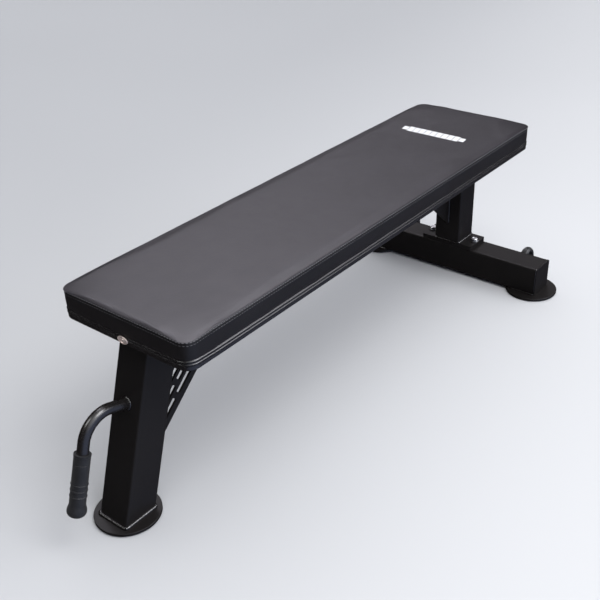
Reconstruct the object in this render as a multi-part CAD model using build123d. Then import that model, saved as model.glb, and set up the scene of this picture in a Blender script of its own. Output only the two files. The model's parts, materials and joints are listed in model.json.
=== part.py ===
from build123d import *
import math
import os

# A flat training bench: an upholstered pad on a welded square-tube frame. A leaning front post
# stands on one round foot and carries a lifting handle. A bolted cross foot at the rear stands
# on two round feet and carries two transport wheels, which touch the floor only when the
# handle end is lifted.
#
# +X points to the handle end, +Y to the left, +Z up, and the floor is z = 0. Stations along X
# are measured from the middle of the pad. The last step moves everything along X, so that the
# origin is in the middle of the whole bench. All sizes are in millimetres.

# Pad: board, foam and cover
PAD_LENGTH = 1250.0
PAD_WIDTH = 330.0
PAD_CORNER = 26.0         # plan radius of the corners
PAD_UNDERSIDE = 365.0     # above the floor
PAD_BAND = 58.0           # underside to top seam
PAD_CROWN = 5.0           # rise of the top panel above its seam
CROWN_RUN = 24.0          # distance from the seam over which it rises
COVER = 1.2               # vinyl thickness
COVER_FOLD = 36.0         # width of vinyl folded under the board
OPENING_CORNER = 12.0     # plan radius of the opening inside the fold
BOARD = 18.0              # plywood thickness
WELT_BOTTOM = 8.0         # above the underside
WELT_HEIGHT = 11.5
WELT_PROUD = 0.8

# Decoration and eyelet on the cover
MARK_X = -425.0
MARK_Y = -4.0
MARK_LENGTH = 182.0       # across the pad
MARK_DEPTH = 30.0
MARK_BARS = 11
MARK_BAR_WIDTH = 0.91     # share of the pitch that a bar fills
MARK_SLANT = 0.3          # shift of a bar's far end, as a share of the pitch
MARK_TAPER = (0.72, 1.0)  # depth of the outermost bars, as a share of the others'
MARK_THICKNESS = 0.3
EYELET_Y = 4.0
EYELET_ABOVE = 9.5        # centre above the underside
EYELET_LONG = 13.0        # half axes of the oval
EYELET_SHORT = 7.5
EYELET_PROUD = 2.2
EYELET_SHANK = 3.0        # radius
EYELET_REACH = 12.0       # depth of the shank behind the face

# Frame tube and its places
TUBE = 75.0
WALL = 3.0
TUBE_CORNER = 5.0
PLATE = 5.0               # pad plates, gussets, wheel ears
LEAN = math.radians(18.0)  # front post from the vertical, foot outwards
FRONT_FACE = 716.0        # front face of the leaning post, at floor level
REAR_FACE = -514.0        # face of the rear post and cross foot towards the handle end
CROSS_LENGTH = 540.0
FLANGE = 12.0
FLANGE_LENGTH = 153.0

# Feet
DISC_RADIUS = 66.0
DISC = 5.0
SOLE_RADIUS = 65.0
SOLE = 2.5
REAR_DISC_Y = 243.0

# Gussets, in the middle plane
FRONT_GUSSET_BEAM_X = 381.0   # where the free edge meets the beam
FRONT_GUSSET_POST_Z = 79.0    # where it meets the post
REAR_GUSSET_BEAM_X = -362.0
REAR_GUSSET_POST_Z = 143.0
SLOT_WIDTH = 12.0
SLOT_CORNER = 2.5
SLOT_PITCH = 19.0             # between the rows of slots
SLOT_MARGIN = 20.0            # first row's middle line, from the free edge
# For each row, the start and end of its slots along the free edge, from the edge's middle
SLOT_ROWS = (((-74.0, 6.0), (20.0, 74.0)), ((-60.0, -16.0), (-2.0, 56.0)), ((-42.0, 38.0),))

# Handle and grip
HANDLE_ROOT_Z = 241.0
HANDLE_RADIUS = 11.1
HANDLE_WALL = 2.0
HANDLE_STANDOFF = 92.0        # post face to grip axis
HANDLE_BEND = 54.0
GRIP_START = 74.5             # down from the root, along the post
GRIP_LENGTH = 125.0
GRIP_RADIUS = 15.4
GRIP_RIM_RADIUS = 16.0
GRIP_RIM = 3.5
GRIP_GROOVE = 18.0
GRIP_RIBS = (59.0, 71.0, 83.0)
GRIP_RIB_PROUD = 0.9
GRIP_FLARE = 98.0             # where the flare starts
GRIP_FLARE_RADIUS = 18.3
GRIP_ROUNDING = 12.0          # height of the rounded end
GRIP_FLAT = 10.0              # radius of its flat bottom
GRIP_END = 3.0                # closed end

# Pad plates and fasteners
PAD_PLATE_LENGTH = 240.0
END_PLATE_WIDTH = 84.0
MIDDLE_PLATE_WIDTH = 60.0
PLATE_CORNER = 10.0
PAD_BOLT_Y = 95.0
FLANGE_BOLT_Y = 65.5
# thread radius, across flats, head height, washer radius, washer thickness, hole radius
M8 = dict(r=4.0, flats=13.0, head=5.3, washer=8.0, washer_t=1.6, hole=4.5)
M10 = dict(r=5.0, flats=17.0, head=6.4, washer=10.0, washer_t=2.0, hole=5.5)
FIT = 0.1                     # clearance on radius between a bolt and its nut
PAD_BOLT_LENGTH = 25.0
FLANGE_BOLT_LENGTH = 32.0
WELD_NUT = 8.0
TEE_FLANGE_RADIUS = 11.0
TEE_FLANGE = 1.5
TEE_BARREL_RADIUS = 5.2
TEE_BARREL = 10.0

# Transport wheels
WHEEL_X = -636.0
WHEEL_Y = 184.0
WHEEL_Z = 42.5
WHEEL_RADIUS = 30.0
WHEEL_WIDTH = 20.0
TYRE_SHOULDER = 24.5          # radius of the tyre at its side faces
TYRE_INNER = 23.0
HUB_RIM_INNER = 19.0
HUB_RIM_WIDTH = 17.0
HUB_WEB = 6.0
HUB_BOSS = 9.0
HUB_HOLES = 5
HUB_HOLE_RADIUS = 3.0
AXLE_RUNNING = 0.05           # running clearance on radius
EAR_GAP = 1.5                 # between the wheel's side and each ear
EAR_NOSE = 13.0
EAR_ROOT = 40.0
WHEEL_WASHER_CLEARANCE = 0.35
LOCK_NUT = 8.0

# Heights and stations that follow from the sizes above
DISC_TOP = SOLE + DISC
BOARD_BOTTOM = PAD_UNDERSIDE + COVER
BOARD_TOP = BOARD_BOTTOM + BOARD
FRAME_TOP = PAD_UNDERSIDE - PLATE
BEAM_BOTTOM = FRAME_TOP - TUBE
CROSS_TOP = DISC_TOP + TUBE
FLANGE_TOP = CROSS_TOP + FLANGE
REAR_AXIS = REAR_FACE - TUBE / 2
REAR_BACK = REAR_FACE - TUBE
POST_DEPTH = TUBE / math.cos(LEAN)    # the leaning post measured level
COS, SIN, TAN = math.cos(LEAN), math.sin(LEAN), math.tan(LEAN)


def front_face_x(z):
    """Station of the leaning post's front face at height z."""
    return FRONT_FACE - TAN * z


def rear_face_x(z):
    """Station of the leaning post's rear face at height z."""
    return front_face_x(z) - POST_DEPTH


# Local x points out of the post's front face and local z up the post
POST = Plane(origin=(FRONT_FACE - POST_DEPTH / 2, 0, 0), x_dir=(COS, 0, SIN), z_dir=(-SIN, 0, COS))
# Local x points out of the post's front face and local y up the post
HANDLE = Plane(
    origin=(front_face_x(HANDLE_ROOT_Z), 0, HANDLE_ROOT_Z), x_dir=(COS, 0, SIN), z_dir=(0, -1, 0)
)


# ---- general shapes ----

def tube_section():
    bore = RectangleRounded(TUBE - 2 * WALL, TUBE - 2 * WALL, TUBE_CORNER - WALL)
    return RectangleRounded(TUBE, TUBE, TUBE_CORNER) - bore


def slab(width, depth, corner, bottom, height):
    """Flat plate with rounded corners, from z = bottom up."""
    return extrude(Plane.XY.offset(bottom) * RectangleRounded(width, depth, corner), height)


def cylinder(x, y, bottom, radius, height):
    return extrude(Pos(x, y, bottom) * Circle(radius), height)


def hexagon(x, y, bottom, flats, height):
    return extrude(Pos(x, y, bottom) * RegularPolygon(flats / 2, 6, major_radius=False), height)


def middle_plate(points):
    """Plate of the general thickness in the plane y = 0, from (x, z) corners."""
    face = make_face(Polyline(*[(x, 0, z) for x, z in points], close=True))
    return extrude(face, PLATE / 2, both=True)


def pad_block(inset, bottom):
    """The pad's outer form, shrunk by inset on its sides and top, from z = bottom up."""
    seam = PAD_UNDERSIDE + PAD_BAND
    length, width = PAD_LENGTH - 2 * inset, PAD_WIDTH - 2 * inset
    band = slab(length, width, PAD_CORNER - inset, bottom, seam - inset - bottom)
    low = Plane.XY.offset(seam - inset) * RectangleRounded(length, width, PAD_CORNER - inset)
    high = Plane.XY.offset(seam - inset + PAD_CROWN) * RectangleRounded(
        length - 2 * CROWN_RUN, width - 2 * CROWN_RUN, PAD_CORNER - CROWN_RUN
    )
    return band + loft([low, high], ruled=True)


def bolt_places():
    """Centres of the pad bolts."""
    stations = (plate_station("front"), plate_station("middle"), plate_station("rear"))
    return [(x, side * PAD_BOLT_Y) for x in stations for side in (1, -1)]


def plate_station(name):
    front = front_face_x(FRAME_TOP) - POST_DEPTH / 2
    return {"front": front, "middle": 0.0, "rear": REAR_AXIS}[name]


# ---- pad ----

def pad_board():
    length, width = PAD_LENGTH - 2 * COVER, PAD_WIDTH - 2 * COVER
    board = slab(length, width, PAD_CORNER - COVER, BOARD_BOTTOM, BOARD)
    for x, y in bolt_places():
        board -= cylinder(x, y, BOARD_BOTTOM, TEE_BARREL_RADIUS, BOARD)
        board -= cylinder(x, y, BOARD_TOP - TEE_FLANGE, TEE_FLANGE_RADIUS, TEE_FLANGE)
    return board - eyelet_shank()


def pad_foam():
    return pad_block(COVER, BOARD_TOP)


def pad_cover():
    """Vinyl skin over foam and board, folded under the board's edge."""
    skin = pad_block(0, PAD_UNDERSIDE) - pad_block(COVER, BOARD_BOTTOM)
    return skin - cover_opening(0) - eyelet_shank()


def cover_opening(gap):
    """The open middle of the underside, inside the fold."""
    inset = COVER_FOLD + gap
    length, width = PAD_LENGTH - 2 * inset, PAD_WIDTH - 2 * inset
    return slab(length, width, OPENING_CORNER, PAD_UNDERSIDE, COVER)


def pad_backing():
    """Felt sheet that closes the underside."""
    sheet = cover_opening(0.5)
    for x, y in bolt_places():
        sheet -= cylinder(x, y, PAD_UNDERSIDE, M8["hole"], COVER)
    return sheet


def pad_welt():
    """Trim round the lower edge of the side band."""
    bottom = PAD_UNDERSIDE + WELT_BOTTOM
    grown = PAD_LENGTH + 2 * WELT_PROUD, PAD_WIDTH + 2 * WELT_PROUD, PAD_CORNER + WELT_PROUD
    ring = slab(*grown, bottom, WELT_HEIGHT)
    return ring - slab(PAD_LENGTH, PAD_WIDTH, PAD_CORNER, bottom, WELT_HEIGHT) - eyelet_shank()


def pad_mark():
    """Row of plain slanting bars printed on the top panel, shorter towards its ends."""
    top = PAD_UNDERSIDE + PAD_BAND + PAD_CROWN
    pitch = MARK_LENGTH / (MARK_BARS - 1 + MARK_BAR_WIDTH + MARK_SLANT)
    width = pitch * MARK_BAR_WIDTH
    bars = []
    for i in range(MARK_BARS):
        place = min(i, MARK_BARS - 1 - i)
        share = MARK_TAPER[place] if place < len(MARK_TAPER) else 1.0
        half, slant = MARK_DEPTH / 2 * share, pitch * MARK_SLANT / 2 * share
        y = MARK_Y - MARK_LENGTH / 2 + pitch * (i + MARK_SLANT / 2)
        corners = [
            (-half, y - slant), (-half, y + width - slant), (half, y + width + slant), (half, y + slant)
        ]
        face = make_face(Polyline(*[(MARK_X + x, y, top) for x, y in corners], close=True))
        bars.append(extrude(face, MARK_THICKNESS))
    return bars


def eyelet_plane():
    """Face of the welt on the pad's near end; local x is +Y and local z points out."""
    face_x = PAD_LENGTH / 2 + WELT_PROUD
    return Plane(origin=(face_x, EYELET_Y, PAD_UNDERSIDE + EYELET_ABOVE), x_dir=(0, 1, 0), z_dir=(1, 0, 0))


def eyelet_shank():
    return extrude(eyelet_plane() * Circle(EYELET_SHANK), -EYELET_REACH)


def cover_eyelet():
    """Oval metal eyelet on the pad's end, with a shank into the board."""
    head = extrude(eyelet_plane() * Ellipse(EYELET_LONG, EYELET_SHORT), EYELET_PROUD)
    head = fillet(head.faces().sort_by(Axis.X)[-1].edges(), EYELET_PROUD * 0.6)
    return head + eyelet_shank()


# ---- frame ----

def front_post():
    start = 60.0
    post = extrude(POST.offset(-start) * tube_section(), FRAME_TOP / COS + 2 * start)
    return post & Pos(0, 0, DISC_TOP) * Box(
        4 * PAD_LENGTH, 2 * TUBE, FRAME_TOP - DISC_TOP, align=(Align.CENTER, Align.CENTER, Align.MIN)
    )


def main_beam():
    """Beam between the posts, its front end cut to the lean of the front post."""
    section = Plane(origin=(REAR_FACE, 0, BEAM_BOTTOM + TUBE / 2), z_dir=(1, 0, 0)) * tube_section()
    beam = extrude(section, FRONT_FACE - REAR_FACE)
    reach = 2 * PAD_UNDERSIDE
    block = Box(reach, 2 * TUBE, 3 * reach, align=(Align.MIN, Align.CENTER, Align.CENTER))
    return beam - POST * Pos(-TUBE / 2, 0, 0) * block


def rear_post():
    return extrude(Pos(REAR_AXIS, 0, FLANGE_TOP) * tube_section(), FRAME_TOP - FLANGE_TOP)


def rear_flange():
    flange = Pos(REAR_AXIS, 0, 0) * slab(TUBE, FLANGE_LENGTH, 4.0, CROSS_TOP, FLANGE)
    for side in (1, -1):
        flange -= cylinder(REAR_AXIS, side * FLANGE_BOLT_Y, CROSS_TOP, M10["hole"], FLANGE)
    return flange


def cross_foot():
    """Square tube across the rear, without its end plates."""
    length = CROSS_LENGTH - 2 * WALL
    plane = Plane(origin=(REAR_AXIS, -length / 2, DISC_TOP + TUBE / 2), x_dir=(1, 0, 0), z_dir=(0, 1, 0))
    foot = extrude(plane * tube_section(), length)
    for side in (1, -1):
        foot -= cylinder(REAR_AXIS, side * FLANGE_BOLT_Y, CROSS_TOP - WALL, M10["hole"], WALL)
    return foot


def cross_end_plate(side):
    inner = side * (CROSS_LENGTH / 2 - WALL)
    plane = Plane(origin=(REAR_AXIS, inner, DISC_TOP + TUBE / 2), x_dir=(1, 0, 0), z_dir=(0, side, 0))
    return extrude(plane * RectangleRounded(TUBE, TUBE, TUBE_CORNER), WALL)


def pad_plate(name):
    width = MIDDLE_PLATE_WIDTH if name == "middle" else END_PLATE_WIDTH
    plate = Pos(plate_station(name), 0, 0) * slab(width, PAD_PLATE_LENGTH, PLATE_CORNER, FRAME_TOP, PLATE)
    for side in (1, -1):
        plate -= cylinder(plate_station(name), side * PAD_BOLT_Y, FRAME_TOP, M8["hole"], PLATE)
    return plate


def front_gusset():
    """Plate under the beam behind the front post, with slots along its free edge."""
    top = (FRONT_GUSSET_BEAM_X, BEAM_BOTTOM)
    foot = (rear_face_x(FRONT_GUSSET_POST_Z), FRONT_GUSSET_POST_Z)
    plate = middle_plate([top, foot, (rear_face_x(BEAM_BOTTOM), BEAM_BOTTOM)])
    run, drop = foot[0] - top[0], foot[1] - top[1]
    edge = math.hypot(run, drop)
    # Local x runs down the free edge from its middle and local y into the plate
    along = Plane(
        origin=(top[0] + run / 2, 0, top[1] + drop / 2), x_dir=(run / edge, 0, drop / edge), z_dir=(0, -1, 0)
    )
    for row, slots in enumerate(SLOT_ROWS):
        inwards = SLOT_MARGIN + row * SLOT_PITCH
        for start, end in slots:
            place = Pos((start + end) / 2, inwards)
            slot = along * place * RectangleRounded(end - start, SLOT_WIDTH, SLOT_CORNER)
            plate -= extrude(slot, PLATE, both=True)
    return plate


def rear_gusset():
    return middle_plate(
        [(REAR_FACE, BEAM_BOTTOM), (REAR_GUSSET_BEAM_X, BEAM_BOTTOM), (REAR_FACE, REAR_GUSSET_POST_Z)]
    )


# ---- feet ----

def foot_places():
    front = front_face_x(DISC_TOP) - POST_DEPTH / 2
    left, right = (REAR_AXIS, REAR_DISC_Y), (REAR_AXIS, -REAR_DISC_Y)
    return {"front": (front, 0), "rear_left": left, "rear_right": right}


def foot_disc(x, y):
    disc = cylinder(x, y, SOLE, DISC_RADIUS, DISC)
    return fillet(disc.edges().group_by(Axis.Z)[-1], 1.0)


def foot_sole(x, y):
    sole = cylinder(x, y, 0, SOLE_RADIUS, SOLE)
    return chamfer(sole.edges().group_by(Axis.Z)[0], 0.8)


# ---- handle ----

def handle_tube():
    """Bent tube that leaves the post square to its face and turns down along it."""
    end = -(GRIP_START + GRIP_LENGTH - GRIP_END)
    path = HANDLE * FilletPolyline((0, 0), (HANDLE_STANDOFF, 0), (HANDLE_STANDOFF, end), radius=HANDLE_BEND)
    ring = Circle(HANDLE_RADIUS) - Circle(HANDLE_RADIUS - HANDLE_WALL)
    return sweep(Plane(origin=HANDLE.origin, z_dir=HANDLE.x_dir) * ring, path)


def handle_grip():
    """Rubber sleeve with a rim, one groove, three ribs and a flared closed end."""
    plane = HANDLE * Pos(HANDLE_STANDOFF, -GRIP_START)
    flare_end = GRIP_LENGTH - GRIP_ROUNDING
    outline = Polyline(
        (0, -GRIP_LENGTH + GRIP_END), (HANDLE_RADIUS, -GRIP_LENGTH + GRIP_END), (HANDLE_RADIUS, 0),
        (GRIP_RIM_RADIUS, 0), (GRIP_RIM_RADIUS, -GRIP_RIM), (GRIP_RADIUS, -GRIP_RIM - 1.0),
        (GRIP_RADIUS, -GRIP_FLARE),
    )
    flare = Spline(
        (GRIP_RADIUS, -GRIP_FLARE), (GRIP_FLARE_RADIUS, -flare_end), tangents=[(0, -1), (0, -1)]
    )
    shoulder = (GRIP_FLARE_RADIUS - 2.2, -GRIP_LENGTH + 4.2)
    closing = ThreePointArc((GRIP_FLARE_RADIUS, -flare_end), shoulder, (GRIP_FLAT, -GRIP_LENGTH))
    base = Polyline((GRIP_FLAT, -GRIP_LENGTH), (0, -GRIP_LENGTH), (0, -GRIP_LENGTH + GRIP_END))
    face = make_face([outline, flare, closing, base])
    grip = revolve(face, Axis.Y)
    for depth in GRIP_RIBS:
        grip += Pos(0, -depth, 0) * Rot(90, 0, 0) * Torus(GRIP_RADIUS - 0.6, GRIP_RIB_PROUD + 0.6)
    grip -= Pos(0, -GRIP_GROOVE, 0) * Rot(90, 0, 0) * Torus(GRIP_RADIUS + 0.3, 1.1)
    return plane * grip


# ---- fasteners ----

def bolt(x, y, under_head, size, length, up):
    """Hex bolt; under_head is the height of the head's bearing face, and up is +1 or -1 for
    the side on which its head lies."""
    head_bottom = under_head if up > 0 else under_head - size["head"]
    shank_bottom = under_head - length if up > 0 else under_head
    head = hexagon(x, y, head_bottom, size["flats"], size["head"])
    return head + cylinder(x, y, shank_bottom, size["r"], length)


def washer(x, y, bottom, size):
    return cylinder(x, y, bottom, size["washer"], size["washer_t"]) - cylinder(
        x, y, bottom, size["hole"], size["washer_t"]
    )


def pad_bolts():
    under = FRAME_TOP - M8["washer_t"]
    return [bolt(x, y, under, M8, PAD_BOLT_LENGTH, -1) for x, y in bolt_places()]


def pad_washers():
    return [washer(x, y, FRAME_TOP - M8["washer_t"], M8) for x, y in bolt_places()]


def tee_nuts():
    nuts = []
    for x, y in bolt_places():
        nut = cylinder(x, y, BOARD_TOP - TEE_FLANGE, TEE_FLANGE_RADIUS, TEE_FLANGE)
        nut += cylinder(x, y, BOARD_TOP - TEE_FLANGE - TEE_BARREL, TEE_BARREL_RADIUS, TEE_BARREL)
        nuts.append(nut - cylinder(x, y, BOARD_BOTTOM, M8["r"] + FIT, BOARD))
    return nuts


def flange_places():
    return [(REAR_AXIS, side * FLANGE_BOLT_Y) for side in (1, -1)]


def flange_bolts():
    under = FLANGE_TOP + M10["washer_t"]
    return [bolt(x, y, under, M10, FLANGE_BOLT_LENGTH, 1) for x, y in flange_places()]


def flange_washers():
    return [washer(x, y, FLANGE_TOP, M10) for x, y in flange_places()]


def weld_nuts():
    """Nuts welded under the cross foot's top wall."""
    bottom = CROSS_TOP - WALL - WELD_NUT
    nuts = []
    for x, y in flange_places():
        nut = hexagon(x, y, bottom, M10["flats"], WELD_NUT)
        nuts.append(nut - cylinder(x, y, bottom, M10["r"] + FIT, WELD_NUT))
    return nuts


# ---- transport wheels: every piece is built about the Y axis and moved into place ----

def wheel_place(side):
    return Pos(WHEEL_X, side * WHEEL_Y, WHEEL_Z)


def across(offset, radius, length):
    """Cylinder along Y from y = offset."""
    return extrude(Plane(origin=(0, offset, 0), z_dir=(0, 1, 0)) * Circle(radius), length)


def wheel_ears(side):
    """The two plates that hold one wheel, welded to the back of the cross foot."""
    root = REAR_BACK - WHEEL_X
    nose = Circle(EAR_NOSE)
    web = Polygon((0, -EAR_NOSE), (root, -EAR_ROOT / 2), (root, EAR_ROOT / 2), (0, EAR_NOSE), align=None)
    ears = []
    for edge in (1, -1):
        inner = edge * (WHEEL_WIDTH / 2 + EAR_GAP)
        plane = Plane(origin=(0, inner, 0), x_dir=(1, 0, 0), z_dir=(0, edge, 0))
        ear = extrude(plane * (nose + web - Circle(M8["r"] + FIT)), PLATE)
        ears.append(wheel_place(side) * ear)
    return ears


def wheel_axle(side):
    """Bolt with its head on the outer ear."""
    out = side * (WHEEL_WIDTH / 2 + EAR_GAP + PLATE)
    grip_length = 2 * abs(out) + LOCK_NUT + 2.0
    head_plane = Plane(origin=(0, out, 0), z_dir=(0, side, 0))
    head = extrude(head_plane * RegularPolygon(M8["flats"] / 2, 6, major_radius=False), M8["head"])
    shank = extrude(head_plane * Circle(M8["r"]), -grip_length)
    return wheel_place(side) * (head + shank)


def wheel_nut(side):
    """Self-locking nut on the inner ear."""
    out = -side * (WHEEL_WIDTH / 2 + EAR_GAP + PLATE)
    plane = Plane(origin=(0, out, 0), z_dir=(0, -side, 0))
    collar = 2.0
    nut = extrude(plane * RegularPolygon(M8["flats"] / 2, 6, major_radius=False), LOCK_NUT - collar)
    nut += extrude(plane * Circle(M8["flats"] / 2 - 0.6), LOCK_NUT)
    return wheel_place(side) * (nut - extrude(plane * Circle(M8["r"] + FIT), LOCK_NUT))


def wheel_washers(side):
    """Spacers between the hub and the ears."""
    thickness = EAR_GAP - WHEEL_WASHER_CLEARANCE
    washers = []
    for edge in (1, -1):
        start = edge * (WHEEL_WIDTH / 2 + EAR_GAP)
        plane = Plane(origin=(0, start, 0), z_dir=(0, -edge, 0))
        ring = Circle(M8["washer"]) - Circle(M8["r"] + FIT)
        washers.append(wheel_place(side) * extrude(plane * ring, thickness))
    return washers


def wheel_hub(side):
    """Moulded hub: boss, web with round holes, and rim."""
    rim = across(-HUB_RIM_WIDTH / 2, TYRE_INNER, HUB_RIM_WIDTH) - across(
        -HUB_RIM_WIDTH / 2, HUB_RIM_INNER, HUB_RIM_WIDTH
    )
    web = across(-HUB_WEB / 2, HUB_RIM_INNER + 0.5, HUB_WEB)
    hub = rim + web + across(-WHEEL_WIDTH / 2, HUB_BOSS, WHEEL_WIDTH)
    middle = (HUB_BOSS + HUB_RIM_INNER) / 2
    for i in range(HUB_HOLES):
        turn = Rot(0, i * 360 / HUB_HOLES, 0)
        hub -= turn * Pos(middle, 0, 0) * across(-HUB_WEB, HUB_HOLE_RADIUS, 2 * HUB_WEB)
    hub -= across(-WHEEL_WIDTH, M8["r"] + AXLE_RUNNING, 2 * WHEEL_WIDTH)
    return wheel_place(side) * hub


def wheel_tyre(side):
    """Rubber tyre with a crowned tread and a centre groove."""
    half = WHEEL_WIDTH / 2
    tread = ThreePointArc((TYRE_SHOULDER, -half), (WHEEL_RADIUS, 0), (TYRE_SHOULDER, half))
    inner = Polyline((TYRE_SHOULDER, half), (TYRE_INNER, half), (TYRE_INNER, -half), (TYRE_SHOULDER, -half))
    tyre = revolve(make_face([tread, inner]), Axis.Y)
    tyre -= Rot(90, 0, 0) * Torus(WHEEL_RADIUS + 0.4, 1.1)
    return wheel_place(side) * tyre


# ---- all nodes ----

def all_nodes():
    nodes = {
        "front_post": front_post(), "main_beam": main_beam(), "rear_post": rear_post(),
        "rear_flange": rear_flange(), "cross_foot": cross_foot(),
        "front_gusset": front_gusset(), "rear_gusset": rear_gusset(),
        "handle_tube": handle_tube(), "handle_grip": handle_grip(),
        "pad_board": pad_board(), "pad_foam": pad_foam(), "pad_cover": pad_cover(),
        "pad_backing": pad_backing(), "pad_welt": pad_welt(), "pad_mark": pad_mark(),
        "cover_eyelet": cover_eyelet(),
        "pad_bolts": pad_bolts(), "pad_washers": pad_washers(), "tee_nuts": tee_nuts(),
        "flange_bolts": flange_bolts(), "flange_washers": flange_washers(), "weld_nuts": weld_nuts(),
    }
    for name in ("front", "middle", "rear"):
        nodes[f"pad_plate_{name}"] = pad_plate(name)
    for name, (x, y) in foot_places().items():
        nodes[f"foot_disc_{name}"] = foot_disc(x, y)
        nodes[f"foot_sole_{name}"] = foot_sole(x, y)
    for name, side in (("left", 1), ("right", -1)):
        nodes[f"cross_end_plate_{name}"] = cross_end_plate(side)
        nodes[f"wheel_ears_{name}"] = wheel_ears(side)
        nodes[f"wheel_axle_{name}"] = wheel_axle(side)
        nodes[f"wheel_nut_{name}"] = wheel_nut(side)
        nodes[f"wheel_washers_{name}"] = wheel_washers(side)
        nodes[f"wheel_hub_{name}"] = wheel_hub(side)
        nodes[f"wheel_tyre_{name}"] = wheel_tyre(side)
    return nodes


def solids_of(shape):
    pieces = shape if isinstance(shape, list) else [shape]
    return [solid for piece in pieces for solid in piece.solids()]


def main():
    nodes = {name: Compound(solids_of(shape)) for name, shape in all_nodes().items()}
    boxes = [shape.bounding_box() for shape in nodes.values()]
    middle = (min(box.min.X for box in boxes) + max(box.max.X for box in boxes)) / 2
    print(f"{len(nodes)} nodes, moved {-middle:.4f} mm along X")
    os.makedirs("parts", exist_ok=True)
    for name, shape in nodes.items():
        export_step(Pos(-middle, 0, 0) * shape, f"parts/{name}.step")


main()
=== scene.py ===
import json
import math

import bmesh
import bpy
from mathutils import Matrix, Vector, noise
from mathutils.bvhtree import BVHTree


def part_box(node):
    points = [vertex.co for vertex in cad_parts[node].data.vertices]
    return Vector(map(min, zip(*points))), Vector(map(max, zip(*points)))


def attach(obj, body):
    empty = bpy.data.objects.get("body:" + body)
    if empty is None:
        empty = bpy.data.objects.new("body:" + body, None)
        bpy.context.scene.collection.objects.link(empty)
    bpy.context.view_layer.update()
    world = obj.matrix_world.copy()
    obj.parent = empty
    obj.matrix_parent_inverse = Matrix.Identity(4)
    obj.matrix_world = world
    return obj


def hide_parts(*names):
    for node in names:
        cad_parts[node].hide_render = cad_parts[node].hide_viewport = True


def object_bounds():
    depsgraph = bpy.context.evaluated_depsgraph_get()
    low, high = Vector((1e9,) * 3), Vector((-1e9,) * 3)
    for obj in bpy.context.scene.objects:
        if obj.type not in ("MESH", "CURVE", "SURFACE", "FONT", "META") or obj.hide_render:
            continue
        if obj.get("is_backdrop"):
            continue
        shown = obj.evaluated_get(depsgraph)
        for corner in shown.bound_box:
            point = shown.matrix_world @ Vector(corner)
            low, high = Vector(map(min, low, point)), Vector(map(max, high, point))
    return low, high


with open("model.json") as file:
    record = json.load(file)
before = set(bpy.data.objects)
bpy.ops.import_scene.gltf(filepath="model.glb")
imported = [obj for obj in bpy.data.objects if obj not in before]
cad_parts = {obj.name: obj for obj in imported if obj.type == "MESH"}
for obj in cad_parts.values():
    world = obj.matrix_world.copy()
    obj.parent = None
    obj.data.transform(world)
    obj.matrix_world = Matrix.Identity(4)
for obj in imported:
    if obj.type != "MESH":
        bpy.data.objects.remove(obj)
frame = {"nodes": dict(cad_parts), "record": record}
CAD_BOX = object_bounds()

# A flat training bench: upholstered pad, welded black tube frame, lifting handle and two
# transport wheels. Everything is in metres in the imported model's frame: +X towards the
# handle, +Y left, +Z up, floor at z = 0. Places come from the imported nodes.

MM = 0.001
SIDES = (("left", 1), ("right", -1))

PAD_LOW, PAD_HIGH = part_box("pad_cover")
PAD_MIDDLE = (PAD_LOW + PAD_HIGH) / 2
PAD_HALF = (PAD_HIGH - PAD_LOW) / 2
PAD_BOTTOM = PAD_LOW.z
SEAM_Z = PAD_BOTTOM + 57.6 * MM
PAD_CORNER = 26.5 * MM        # plan radius at the underside
SEAM_CORNER = 24 * MM         # and at the top seam, which stands out there

TUBE = 75 * MM
TUBE_CORNER = 5 * MM
LEAN = math.radians(18)       # of the front post
POST_DEPTH = TUBE / math.cos(LEAN)
HANDLE_RADIUS = 11.1 * MM
HANDLE_ROOT_Z = 241 * MM      # where the handle's axis meets the front post
DISC_RADIUS = 66 * MM         # of the round steel feet

# ---------------------------------------------------------------- camera

CAMERA_PLACE = Vector((1.38143, 1.09303, 1.22839))
CAMERA_AIM = Vector((0.06154, 0.0, 0.21383))
CAMERA_LENS = 53.93
CAMERA_ROLL = math.radians(2.26)   # the right-hand side of the view tips down


def make_camera():
    """Camera in front of the handle end, above the bench's left side."""
    data = bpy.data.cameras.new("camera")
    data.lens = CAMERA_LENS
    data.clip_end = 100
    camera = bpy.data.objects.new("camera", data)
    bpy.context.scene.collection.objects.link(camera)
    forward = (CAMERA_AIM - CAMERA_PLACE).normalized()
    level_right = forward.cross(Vector((0, 0, 1))).normalized()
    level_up = level_right.cross(forward)
    right = math.cos(CAMERA_ROLL) * level_right - math.sin(CAMERA_ROLL) * level_up
    up = right.cross(forward)
    turn = Matrix((right, up, -forward)).transposed().to_4x4()
    camera.matrix_world = Matrix.Translation(CAMERA_PLACE) @ turn
    bpy.context.scene.camera = camera


# ---------------------------------------------------------------- node trees

class Nodes:
    """Short helpers for a node tree. An input takes either an output, to link, or a value."""

    def __init__(self, tree):
        self.tree = tree

    def fill(self, socket, value):
        if isinstance(value, bpy.types.NodeSocket):
            self.tree.links.new(value, socket)
        else:
            socket.default_value = value

    def node(self, kind, inputs=(), **settings):
        made = self.tree.nodes.new(kind)
        for key, value in settings.items():
            setattr(made, key, value)
        for key, value in dict(inputs).items():
            self.fill(made.inputs[key], value)
        return made

    def maths(self, operation, a, b):
        return self.node("ShaderNodeMath", {0: a, 1: b}, operation=operation).outputs[0]

    def mix(self, factor, a, b, blend="MIX"):
        inputs = {0: factor, 6: a, 7: b}
        return self.node("ShaderNodeMix", inputs, data_type="RGBA", blend_type=blend).outputs[2]

    def span(self, value, low, high):
        """0 to 1, smoothly, as the value goes from low to high."""
        inputs = {"Value": value, "From Min": low, "From Max": high}
        made = self.node("ShaderNodeMapRange", inputs, interpolation_type="SMOOTHSTEP")
        return made.outputs["Result"]


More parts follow.
